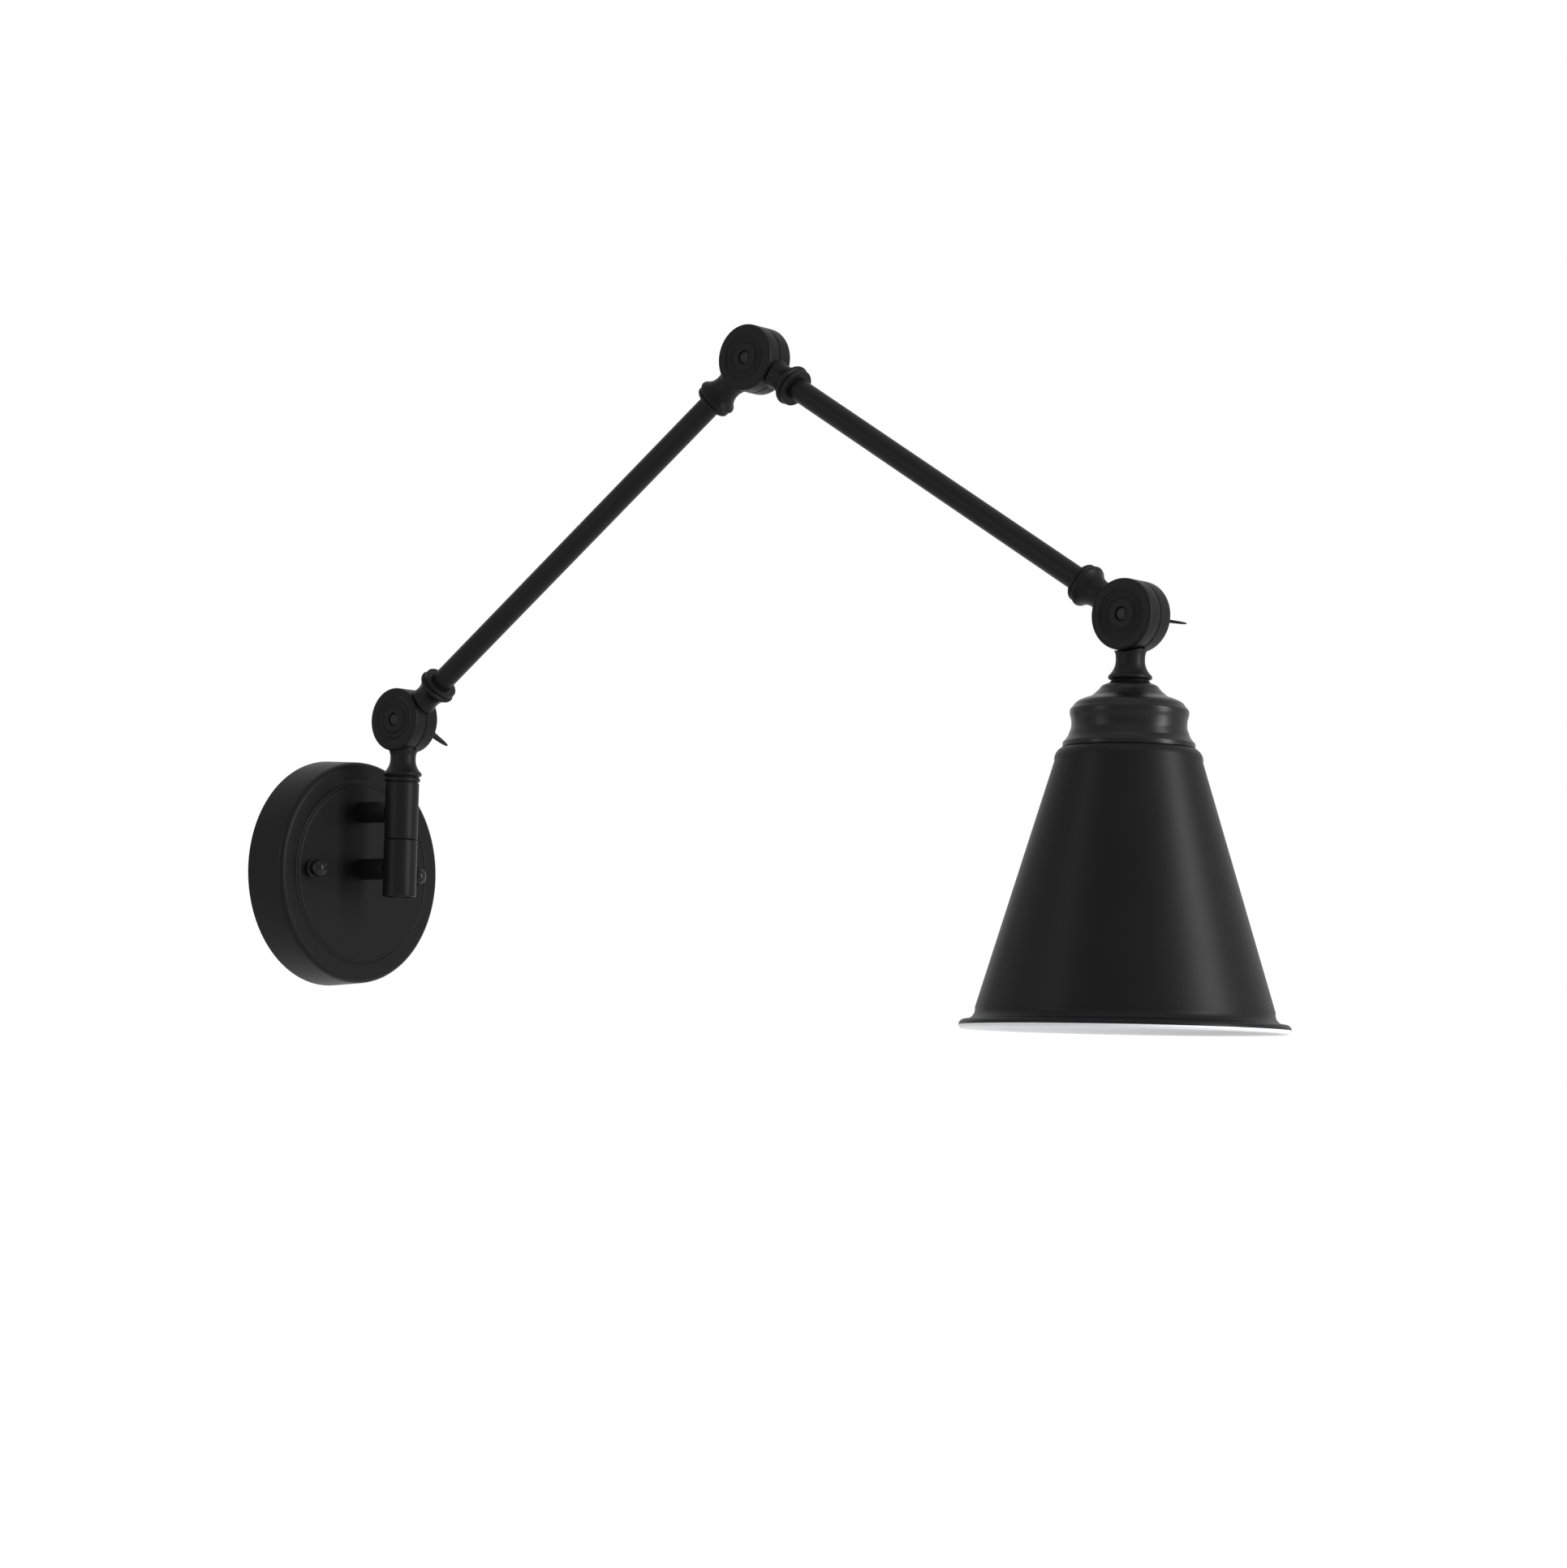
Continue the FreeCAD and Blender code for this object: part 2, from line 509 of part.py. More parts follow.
shade = turned_body("shade", [
    ("shade_hole", "cap_end"), ("shade_start", "cap_end"),
    ("shade_top_radius", "shade_top_place", "shoulder_radius", 1),
    ("shade_skirt", "shade_skirt_place"),
    ("shade_rim_radius - shade_bead", "shade_end - 2 * shade_bead", "lip_radius", -1),
    ("shade_rim_radius - shade_bead", "shade_end", "shade_bead", 1),
    ("shade_rim_radius - shade_bead", "shade_end - shade_wall"),
    ("shade_rim_radius - shade_bead", "shade_end - 2 * shade_bead + shade_wall",
     "shade_bead - shade_wall", -1),
    ("shade_skirt - shade_wall", "shade_skirt_place + 0.3", "lip_radius + shade_wall", 1),
    ("shade_top_radius - shade_wall", "shade_top_place + 0.3"),
    ("shade_start - 0.4", "cap_end + shade_wall", "shoulder_radius - shade_wall", -1),
    ("shade_hole", "cap_end + shade_wall")])
place(shade, *head_place, downward)

nipple = tube("nipple", "nipple_radius", "nipple_bore", "head_neck_length - socket_depth",
              "holder_top + flange_thickness")
place(nipple, *head_place, downward)
nut = hexagon("nipple_nut", "nipple_nut_flats", "nipple_radius", "nut_height")
place(nut, head_place[0], head_place[1] + " - (" + crown + " + cap_wall * 1.6 + nut_height)")

# ---- lampholder: body, ring that clamps the shade, screw shell and centre contact ----
holder = turned_body("lampholder", [
    ("nipple_radius", "holder_top"), ("holder_radius * 0.8", "holder_top"),
    ("holder_radius", "holder_top + 3"), ("holder_radius", "cap_end - flange_thickness"),
    ("holder_flange", "cap_end - flange_thickness"), ("holder_flange", "cap_end"),
    ("holder_radius", "cap_end"), ("holder_radius", "holder_end"), ("holder_bore", "holder_end"),
    ("holder_bore", "holder_floor"), ("3", "holder_floor"),
    ("3", "holder_top + flange_thickness"),
    ("nipple_radius", "holder_top + flange_thickness")])
place(holder, *head_place, downward)
ring = tube("shade_ring", "ring_outer", "holder_radius + thread_play", "cap_end + shade_wall",
            "cap_end + shade_wall + ring_height")
place(ring, *head_place, downward)
shell = tube("screw_shell", "shell_bore + shell_wall", "shell_bore",
             "holder_floor + shell_seat", "holder_floor + shell_seat + shell_length")
place(shell, *head_place, downward)
seat = tube("shell_seat", "holder_bore", "contact_radius + 1", "holder_floor",
            "holder_floor + shell_seat")
place(seat, *head_place, downward)
contact = turned_body("centre_contact", [
    ("0", "holder_floor"), ("contact_radius", "holder_floor"),
    ("contact_radius", "holder_floor + contact_height * 0.6"),
    ("contact_radius * 0.5", "holder_floor + contact_height"), ("0", "holder_floor + contact_height")])
place(contact, *head_place, downward)

# ---- every step must have worked before any piece is written ----
doc.recompute()
for thing in doc.Objects:
    if any(word in state for state in thing.State for word in ("Invalid", "Error")):
        raise RuntimeError("failed: %s %s" % (thing.Label, thing.State))
pieces = [thing for thing in doc.Objects if thing.TypeId in ("PartDesign::Body", "Part::Cut")]
for piece in pieces:
    if piece.Shape.isNull() or not piece.Shape.isValid() or len(piece.Shape.Solids) != 1:
        raise RuntimeError("not one valid solid: " + piece.Label)
for piece in pieces:
    piece.Shape.exportStep("parts/" + piece.Label + ".step")
    box = piece.Shape.BoundBox
    print("%-22s %9.1f mm3  x %7.1f %7.1f  y %7.1f %7.1f  z %7.1f %7.1f" % (
        piece.Label, piece.Shape.Volume, box.XMin, box.XMax, box.YMin, box.YMax, box.ZMin, box.ZMax))
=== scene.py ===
import json
import math

import bmesh
import bpy
import numpy as np
from mathutils import Matrix, Vector


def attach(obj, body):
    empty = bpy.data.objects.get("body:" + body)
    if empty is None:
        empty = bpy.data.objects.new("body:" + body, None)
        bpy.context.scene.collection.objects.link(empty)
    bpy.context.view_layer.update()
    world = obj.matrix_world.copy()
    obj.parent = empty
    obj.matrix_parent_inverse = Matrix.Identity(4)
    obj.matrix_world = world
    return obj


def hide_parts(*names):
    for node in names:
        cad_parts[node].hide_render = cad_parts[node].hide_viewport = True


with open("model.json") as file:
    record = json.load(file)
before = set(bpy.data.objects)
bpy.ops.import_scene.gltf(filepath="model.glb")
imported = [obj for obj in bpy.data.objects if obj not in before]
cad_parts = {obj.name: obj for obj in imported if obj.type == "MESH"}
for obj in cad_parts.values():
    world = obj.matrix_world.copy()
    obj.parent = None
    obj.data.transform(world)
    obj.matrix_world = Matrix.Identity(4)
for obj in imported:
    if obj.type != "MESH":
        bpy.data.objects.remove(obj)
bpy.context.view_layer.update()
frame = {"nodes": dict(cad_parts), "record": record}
print("frame loaded:", len(frame["nodes"]), "nodes")

mm = 0.001

# Where the lamp's joints are, in millimetres: the wall is Y = 0 and the arms lie in X = 0.
lamp = {
    "reach": 55.2, "knuckleHeight": 84.7,
    "lowerLength": 306.5, "lowerRise": 35.94,
    "upperLength": 283.6, "upperRise": -31.86,
}


# Unit vector in the arms' plane that points away from the wall and rises by an angle.
def armWay(rise):
    turn = math.radians(rise)
    return np.array([0.0, -math.cos(turn), math.sin(turn)])


outward, down, up = armWay(0), armWay(-90), armWay(90)
across = np.array([1.0, 0.0, 0.0])
lowerWay, upperWay = armWay(lamp["lowerRise"]), armWay(lamp["upperRise"])
wallPoint = np.array([0.0, -lamp["reach"], lamp["knuckleHeight"]])
elbowPoint = wallPoint + lamp["lowerLength"] * lowerWay
headPoint = elbowPoint + lamp["upperLength"] * upperWay

# The camera looks slightly up from the left, with a long lens.
view = {"place": (-1.644, -1.6607, -0.1299), "yaw": -51.0, "pitch": 4.59, "roll": 1.27,
        "lens": 94.21, "sensor": 36.0, "near": 0.05, "far": 60}


def addCamera():
    yaw, pitch, roll = (math.radians(view[name]) for name in ("yaw", "pitch", "roll"))
    ahead = Vector((-math.sin(yaw) * math.cos(pitch), math.cos(yaw) * math.cos(pitch),
                    math.sin(pitch)))
    right = ahead.cross(Vector((0, 0, 1))).normalized()
    top = right.cross(ahead)
    side = math.cos(roll) * right + math.sin(roll) * top
    head = -math.sin(roll) * right + math.cos(roll) * top
    camera = bpy.data.objects.new("camera", bpy.data.cameras.new("camera"))
    bpy.context.scene.collection.objects.link(camera)
    camera.matrix_world = Matrix.Translation(view["place"]) @ Matrix(
        (side, head, -ahead)).transposed().to_4x4()
    camera.data.lens, camera.data.sensor_width = view["lens"], view["sensor"]
    camera.data.clip_start, camera.data.clip_end = view["near"], view["far"]
    bpy.context.scene.camera = camera


addCamera()
bpy.context.scene.view_settings.view_transform = "Standard"
print("camera set")


# A node's output that can stand in a sum.
class Signal:
    def __init__(self, finish, socket):
        self.finish, self.socket = finish, socket

    def maths(self, operation, first, second):
        return self.finish.signal("ShaderNodeMath", {"operation": operation},
                                  {0: first, 1: second})

    def __add__(self, other): return self.maths("ADD", self, other)
    def __radd__(self, other): return self.maths("ADD", other, self)
    def __sub__(self, other): return self.maths("SUBTRACT", self, other)
    def __rsub__(self, other): return self.maths("SUBTRACT", other, self)
    def __mul__(self, other): return self.maths("MULTIPLY", self, other)
    def __rmul__(self, other): return self.maths("MULTIPLY", other, self)


# The node tree of a material or of the world.
class Finish:
    def __init__(self, owner, output="ShaderNodeOutputMaterial"):
        owner.use_nodes = True
        self.owner, self.tree = owner, owner.node_tree
        self.tree.nodes.clear()
        self.output = self.node(output)

    # A node from its type, its settings, and the values or links of its sockets.
    def node(self, kind, settings=None, sockets=None):
        made = self.tree.nodes.new(kind)
        for name, value in (settings or {}).items():
            setattr(made, name, value)
        for name, value in (sockets or {}).items():
            if isinstance(value, Signal):
                self.tree.links.new(value.socket, made.inputs[name])
            else:
                made.inputs[name].default_value = value
        return made

    def signal(self, kind, settings=None, sockets=None, output=0):
        return Signal(self, self.node(kind, settings, sockets).outputs[output])

    def place(self):
        return self.signal("ShaderNodeTexCoord", output="Object")

    # 1 for rays that see the background itself: from the camera, off gloss, through glass.
    def seenRays(self):
        path = self.node("ShaderNodeLightPath")
        return (Signal(self, path.outputs["Is Camera Ray"])
                + Signal(self, path.outputs["Is Glossy Ray"])
                + Signal(self, path.outputs["Is Transmission Ray"]))

    def noise(self, place, scale, detail=2.0, roughness=0.5):
        return self.signal("ShaderNodeTexNoise", {}, {
            "Vector": place, "Scale": scale, "Detail": detail, "Roughness": roughness})

    def mix(self, factor, low, high):
        return self.signal("ShaderNodeMix", {"data_type": "RGBA"},
                           {0: factor, 6: low, 7: high}, output=2)

    def bump(self, height, strength, distance):
        return self.signal("ShaderNodeBump", {}, {
            "Height": height, "Strength": strength, "Distance": distance})

    def surface(self, shader):
        self.tree.links.new(shader.socket, self.output.inputs["Surface"])
        return self.owner


def tone(red, green, blue):
    return (red, green, blue, 1.0)


# Satin powder coat: fine pebble in the film, and slow drifts in gloss and shade.
coat = {"shade": tone(0.0034, 0.0032, 0.0036), "paler": tone(0.0052, 0.0050, 0.0056),
        "mirror": 0.085, "pebble": 900.0, "pebbleStrength": 0.02, "drift": 24.0,
        "glossDrift": 0.08, "pebbleDepth": 0.0002}


def powderCoat(name, gloss, grain=1.0, mirror=1.0):
    finish = Finish(bpy.data.materials.new(name))
    place = finish.place()
    drift = finish.noise(place, coat["drift"], 3.0)
    pebble = finish.noise(place, coat["pebble"], 2.0, 0.55)
    return finish.surface(finish.signal("ShaderNodeBsdfPrincipled", {}, {
        "Base Color": finish.mix(drift, coat["shade"], coat["paler"]),
        "Roughness": gloss + (drift - 0.5) * coat["glossDrift"],
        "Normal": finish.bump(pebble, coat["pebbleStrength"] * grain, coat["pebbleDepth"]),
        "Specular IOR Level": coat["mirror"] * mirror}))


film = {"shade": tone(0.49, 0.50, 0.515), "paler": tone(0.55, 0.56, 0.575), "gloss": 0.42,
        "glossDrift": 0.08, "drift": 14.0, "peel": 240.0, "peelStrength": 0.06,
        "peelDepth": 0.0004}


# White inside of the shade: a smooth film with a faint orange peel.
def enamel(name):
    finish = Finish(bpy.data.materials.new(name))
    place = finish.place()
    peel = finish.noise(place, film["peel"], 2.0)
    drift = finish.noise(place, film["drift"], 3.0)
    return finish.surface(finish.signal("ShaderNodeBsdfPrincipled", {}, {
        "Base Color": finish.mix(drift, film["shade"], film["paler"]),
        "Roughness": film["gloss"] + (drift - 0.5) * film["glossDrift"],
        "Normal": finish.bump(peel, film["peelStrength"], film["peelDepth"])}))


metal = {"cloud": 60.0, "streak": 700.0, "stretch": 14.0, "glossDrift": 0.12,
         "streakStrength": 0.04, "streakDepth": 0.0002}


# Plated or drawn metal, with a cloudy tone and fine streaks.
def bareMetal(name, low, high, gloss):
    finish = Finish(bpy.data.materials.new(name))
    place = finish.place()
    cloud = finish.noise(place, metal["cloud"], 4.0)
    streak = finish.noise(finish.signal("ShaderNodeMapping", {}, {
        "Vector": place, "Scale": (1.0, 1.0, metal["stretch"])}), metal["streak"], 2.0)
    return finish.surface(finish.signal("ShaderNodeBsdfPrincipled", {}, {
        "Base Color": finish.mix(cloud, low, high), "Metallic": 1.0,
        "Roughness": gloss + (streak - 0.5) * metal["glossDrift"],
        "Normal": finish.bump(streak, metal["streakStrength"], metal["streakDepth"])}))


mould = {"mottle": 320.0, "glossDrift": 0.15, "mottleStrength": 0.08, "mottleDepth": 0.0003}


# Pressed resin or fibre, faintly mottled.
def moulded(name, low, high, gloss):
    finish = Finish(bpy.data.materials.new(name))
    mottle = finish.noise(finish.place(), mould["mottle"], 4.0, 0.6)
    return finish.surface(finish.signal("ShaderNodeBsdfPrincipled", {}, {
        "Base Color": finish.mix(mottle, low, high),
        "Roughness": gloss + (mottle - 0.5) * mould["glossDrift"],
        "Normal": finish.bump(mottle, mould["mottleStrength"], mould["mottleDepth"])}))


satinBlack = powderCoat("satinBlack", 0.43)
smoothBlack = powderCoat("smoothBlack", 0.31, 0.6, 1.6)
shadeBlack = powderCoat("shadeBlack", 0.42)
shadeWhite = enamel("shadeWhite")
zincSteel = bareMetal("zincSteel", tone(0.33, 0.33, 0.34), tone(0.46, 0.46, 0.47), 0.36)
brassShell = bareMetal("brassShell", tone(0.72, 0.50, 0.22), tone(0.80, 0.60, 0.30), 0.27)
darkResin = moulded("darkResin", tone(0.020, 0.018, 0.016), tone(0.035, 0.032, 0.028), 0.35)
greyFibre = moulded("greyFibre", tone(0.05, 0.045, 0.04), tone(0.11, 0.10, 0.09), 0.75)

slotFinish = {"black_coat": satinBlack, "shade_coat": shadeBlack, "zinc_steel": zincSteel,
              "brass": brassShell, "black_resin": darkResin, "fibre": greyFibre}
for part in frame["record"]["subparts"]:
    node = frame["nodes"][part["node"]]
    node.data.materials.clear()
    node.data.materials.append(slotFinish[part["material_slot"]])
print("finishes made")


# Outline with each inner corner cut by a short parabola, whose legs are the radius or under
# half of the shorter side: point = (1 - t)^2 start + 2 t (1 - t) corner + t^2 end.
def eased(points, radius, count=6):
    points = np.asarray(points, float)
    before, corner, after = points[:-2], points[1:-1], points[2:]
    back, on = before - corner, after - corner
    backLength = np.linalg.norm(back, axis=1, keepdims=True)
    onLength = np.linalg.norm(on, axis=1, keepdims=True)
    legs = np.minimum(np.broadcast_to(np.reshape(radius, (-1, 1)), backLength.shape),
                      0.48 * np.minimum(backLength, onLength))
    start, end = corner + back / backLength * legs, corner + on / onLength * legs
    step = np.linspace(0, 1, count)[None, :, None]
    curve = ((1 - step) ** 2 * start[:, None] + 2 * step * (1 - step) * corner[:, None]
             + step ** 2 * end[:, None])
    return np.vstack([points[:1], curve.reshape(-1, 2), points[-1:]])


# Points of a circular arc from start to end. The bulge is the arc's height over its chord:
# above zero to the left of the way, below zero to the right.
def arc(start, end, bulge, count=14):
    start, end = np.asarray(start, float), np.asarray(end, float)
    chord = end - start
    length = np.hypot(*chord)
    half = 2 * math.atan(2 * bulge / length)
    radius = length / (2 * math.sin(half))
    middle = (start + end) / 2 + np.array([-chord[1], chord[0]]) / length * (bulge - radius)
    turn = math.atan2(*(start - middle)[::-1]) - np.linspace(0, 2 * half, count)
    return middle + abs(radius) * np.stack([np.cos(turn), np.sin(turn)], 1)


# Points and faces of a grid whose last column meets its first.
def ringSurface(grid):
    rows, columns = grid.shape[:2]
    row, column = np.meshgrid(np.arange(rows - 1), np.arange(columns), indexing="ij")
    after = (column + 1) % columns
    quads = np.stack([row * columns + column, row * columns + after,
                      (row + 1) * columns + after, (row + 1) * columns + column], -1)
    return grid.reshape(-1, 3), quads.reshape(-1, 4)


# Surface of revolution: point = base + axis * along + radius * (aside cos + third sin), for
# each outline point (radius, along) and each angle.
def spun(outline, base, axis, aside, steps=96):
    outline = np.asarray(outline, float)
    third = np.cross(axis, aside)
    angle = np.arange(steps) * 2 * math.pi / steps
    ring = np.cos(angle)[:, None] * aside + np.sin(angle)[:, None] * third
    return ringSurface(base + outline[:, None, 1:2] * axis + outline[:, None, 0:1] * ring[None])


# Several surfaces as one, each one's faces counted on from the points before it.
def joined(*surfaces):
    points, quads, count = [], [], 0
    for spots, faces in surfaces:
        points.append(spots)
        quads.append(faces + count)
        count += len(spots)
    return np.vstack(points), np.vstack(quads)


# Points nearer than the weld, in metres, become one; edges past the crease, in degrees, are
# kept sharp.
meshing = {"weld": 2e-6, "crease": 38}


# Mesh piece from a surface in millimetres, with its poles and seams closed.
def addPiece(name, surface, body, nodes, materials, marks=None):
    points, quads = surface
    mesh = bpy.data.meshes.new(name)
    mesh.from_pydata((points * mm).tolist(), [], quads.tolist())
    for material in materials:
        mesh.materials.append(material)
    if marks is not None:
        mesh.polygons.foreach_set("material_index", marks.astype(np.int32))
    shape = bmesh.new()
    shape.from_mesh(mesh)
    bmesh.ops.remove_doubles(shape, verts=shape.verts, dist=meshing["weld"])
    bmesh.ops.recalc_face_normals(shape, faces=shape.faces)
    shape.to_mesh(mesh)
    shape.free()
    mesh.polygons.foreach_set("use_smooth", np.ones(len(mesh.polygons), bool))
    mesh.set_sharp_from_angle(angle=math.radians(meshing["crease"]))
    mesh.update()
    piece = bpy.data.objects.new(name, mesh)
    bpy.context.scene.collection.objects.link(piece)
    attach(piece, body)
    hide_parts(*nodes)


canopy = {"back": 63.5, "front": 62.1, "depth": 25.0, "wall": 1.2, "panel": 49.5, "groove": 2.4,
          "sink": 1.0}


# The dish: outside with the groove round its panel, then the inside, turned about the wall's
# normal.
def canopyShell():
    panel, groove, depth = canopy["panel"], canopy["groove"], canopy["depth"]
    sunk = depth - canopy["sink"]
    face = eased([
        (canopy["back"], 0), (canopy["front"], depth), (panel + groove, depth),
        (panel + groove / 2, sunk), (panel, sunk), (panel - groove / 2, depth), (0, depth)],
        [3.4, 0.5, 0.5, 0.5, 0.9])
    inner = eased([
        (0, sunk - canopy["wall"]), (canopy["front"] - canopy["wall"], sunk - canopy["wall"]),
        (canopy["back"] - canopy["wall"], 0)], [2.5])
    return spun(np.vstack([face, inner, face[:1]]), np.zeros(3), outward, across, 256)


addPiece("canopyShell", canopyShell(), "wall_mount", ["canopy"], [satinBlack])

ballNut = {"spacing": 79.0, "ball": 4.9, "collar": 2.6, "neck": 0.75}


# A short collar, then most of a sphere: radius = ball cos, height = middle + ball sin.
def ballNutOutline():
    ball, collar, neck = ballNut["ball"], ballNut["collar"], ballNut["neck"]
    turn = np.linspace(-math.acos(neck), math.pi / 2, 32)
    middle = collar + ball * math.sqrt(1 - neck ** 2)
    outline = np.vstack([
        eased([(0, 0.01), (ball * 0.95, 0.01), (ball * 0.95, collar * 0.7),
               (ball * neck, collar)], [0.02, 0.35]),
        np.stack([ball * np.cos(turn), middle + ball * np.sin(turn)], 1)[1:]])
    outline[-1, 0] = 0
    return outline


for label, side in (("Left", -1), ("Right", 1)):
    base = side * ballNut["spacing"] / 2 * across + canopy["depth"] * outward
    addPiece("ballNut" + label, spun(ballNutOutline(), base, outward, across, 64), "wall_mount",
             ["cap_nut_" + label.lower()], [smoothBlack])

barrel = {"radius": 9.35, "length": 31.8, "seam": 0.3, "foot": 14.2, "edge": 0.8, "bore": 4.1}
post = {"radius": 6.0, "stub": 4.8, "stubLength": 9.0, "bore": 3.2, "reach": 47.4}
for label, shift in (("lower", 0.0), ("upper", barrel["length"] + barrel["seam"])):
    outline = eased([(barrel["bore"], 0), (barrel["radius"], 0),
                     (barrel["radius"], barrel["length"]), (barrel["bore"], barrel["length"])],
                    [barrel["edge"], barrel["edge"]])
    foot = lamp["reach"] * outward + (shift - barrel["foot"]) * up
    addPiece(label + "Barrel", spun(np.vstack([outline, outline[:1]]), foot, up, across),
             "wall_mount", [label + "_barrel"], [satinBlack])
    stubStart = canopy["depth"] - post["stubLength"]
    outline = eased([
        (post["bore"], stubStart), (post["stub"], stubStart), (post["stub"], canopy["depth"]),
        (post["radius"], canopy["depth"]), (post["radius"], post["reach"]),
        (post["bore"], post["reach"]), (post["bore"], stubStart)], [0.3, 0.05, 0.25, 0.02, 0.02])
    height = shift + barrel["length"] / 2 - barrel["foot"]
    addPiece(label + "Post", spun(outline, height * up, outward, across, 64), "wall_mount",
             [label + "_post"], [satinBlack])
print("wall end made")

# Half knuckles: the disc with its ringed face, and the turned neck that holds a tube.
knuckle = {"radius": 17.6, "half": 9.0, "round": 1.6, "seam": 0.25, "gap": 0.8, "dish": 1.3,
           "rim": 13.2, "ridge": 9.8, "ridgeWidth": 1.6, "boss": 7.1, "pin": 2.6, "head": 3.5,
           "seat": 1.0, "foot": 11.6, "footEnd": 14.6, "flare": 7.9, "flarePlace": 17.6,
           "waist": 7.2, "waistPlace": 21.0, "bead": 10.9, "beadPlace": 30.4,
           "ring": 10.0, "length": 34.5, "headLength": 33.1,
           "stemSocket": 4.05, "tubeSocket": 6.05, "nippleSocket": 5.05}


# Radius and distance along the neck: flare, waist, bell, bead, groove and ring. The small
# numbers are the steps of the turned profile.
def neckOutline(length, socket):
    flare, waist, bead, ring = (knuckle[name] for name in ("flare", "waist", "bead", "ring"))
    start, place, waistPlace = knuckle["foot"], knuckle["beadPlace"], knuckle["waistPlace"]
    foot = arc((flare, knuckle["flarePlace"]), (waist + 0.02, waistPlace), 0.22, 8)
    belly = arc((waist + 0.02, waistPlace), (bead - 0.7, place - 1.3), 0.95, 16)
    top = eased([
        belly[-1], (bead - 0.35, place - 1.0), (bead, place), (bead - 0.3, place + 0.7),
        (ring - 0.75, place + 1.35), (ring - 0.65, place + 1.75), (ring, place + 2.3),
        (ring, length - 0.3), (ring - 0.5, length), (socket, length), (socket, length - 3)],
        [0.4, 0.6, 0.5, 0.35, 0.3, 0.4, 0.4, 0.3, 0.1])
    return np.vstack([[(0, start), (flare * 0.9, start), (flare, knuckle["footEnd"])],
                      foot, belly[1:-1], top, [(0, length - 3)]])


# Radius and distance from the middle plane round the disc: seam, rim, ridge, boss and bore.
def discOutline(sunk):
    half, radius, ridge = knuckle["half"], knuckle["radius"], knuckle["ridge"]
    floor, width = half - knuckle["dish"], knuckle["ridgeWidth"]
    bore = knuckle["head"] if sunk else knuckle["pin"]
    bottom = floor - knuckle["seat"]
    seat = [(bore, bottom), (knuckle["pin"], bottom)] if sunk else [(bore, bottom)]
    outline = eased([
        (knuckle["pin"], knuckle["seam"]), (radius, knuckle["seam"]), (radius, half),
        (knuckle["rim"], half), (ridge + width, floor), (ridge, half - 0.1),
        (ridge - width, floor), (knuckle["boss"], half - 0.15), (bore, half - 0.15)] + seat,
        [0.5, knuckle["round"], 0.9, 0.9, 1.1, 0.8, 0.9, 0.5, 0.1][:9 if sunk else 8])
    return np.vstack([outline, outline[:1]])


# The neck is turned in two half turns, each point = centre + tall way + wide across + deep
# third. On its own side of the seam it stays clear of the seam; on the other it keeps the
# other half's radius and a gap from the pin, so that the joint can fold.
def knuckleHalf(name, node, centre, way, side, body, length, socket, sunk):
    outline = neckOutline(length, socket)
    third = np.cross(way, side * across)
    seam, clear = knuckle["seam"], knuckle["radius"] + knuckle["gap"]
    parts = []
    for start, far in ((-0.5, False), (0.5, True)):
        angle = (np.linspace(0, 1, 49) + start) * math.pi
        wide = outline[:, None, 0] * np.cos(angle)
        deep = outline[:, None, 0] * np.sin(angle)
        tall = np.repeat(outline[:, None, 1], len(angle), 1)
        if far:
            wide, tall = wide + seam, np.maximum(
                tall, np.sqrt(np.maximum(clear ** 2 - deep ** 2, 0)))
        else:
            wide = np.maximum(wide, seam)
        parts.append(centre + tall[..., None] * way + wide[..., None] * side * across
                     + deep[..., None] * third)
    neck = ringSurface(np.concatenate(parts, 1))
    disc = spun(discOutline(sunk), centre, side * across, way, 160)
    addPiece(name, joined(neck, disc), body, [node], [satinBlack])


knuckleHalf("wallKnuckleFront", "wall_knuckle_front", wallPoint, down, -1, "swivel",
            knuckle["length"], knuckle["stemSocket"], True)
knuckleHalf("wallKnuckleBack", "wall_knuckle_back", wallPoint, lowerWay, 1, "lower_arm",
            knuckle["length"], knuckle["tubeSocket"], False)
knuckleHalf("elbowFront", "elbow_front", elbowPoint, -lowerWay, -1, "lower_arm",
            knuckle["length"], knuckle["tubeSocket"], True)
knuckleHalf("elbowBack", "elbow_back", elbowPoint, upperWay, 1, "upper_arm",
            knuckle["length"], knuckle["tubeSocket"], False)
knuckleHalf("headKnuckleFront", "head_knuckle_front", headPoint, -upperWay, -1, "upper_arm",
            knuckle["length"], knuckle["tubeSocket"], True)
knuckleHalf("headKnuckleBack", "head_knuckle_back", headPoint, down, 1, "shade_head",
            knuckle["headLength"], knuckle["nippleSocket"], False)

pin = {"radius": 2.5, "head": 3.4, "headTop": 8.75, "headEdge": 8.0, "headFoot": 6.75,
       "dome": 0.42, "thread": 9.0, "end": 21.5, "pitch": 0.8, "depth": 0.22}


# Domed head, shank and a threaded end whose radius follows a wave along the pin.
def screwSurface(centre):
    along = np.linspace(pin["thread"], pin["end"] - 0.4, 120)
    wave = pin["radius"] - pin["depth"] * (0.5 + 0.5 * np.cos(2 * math.pi * along / pin["pitch"]))
    outline = np.vstack([
        arc((0, -pin["headTop"]), (pin["head"], -pin["headEdge"]), -pin["dome"], 12),
        [(pin["head"], -pin["headFoot"]), (pin["radius"], -pin["headFoot"])],
        np.stack([wave, along], 1), [(pin["radius"] - 0.5, pin["end"]), (0, pin["end"])]])
    outline[0, 0] = 0
    return spun(outline, centre, across, up, 48)


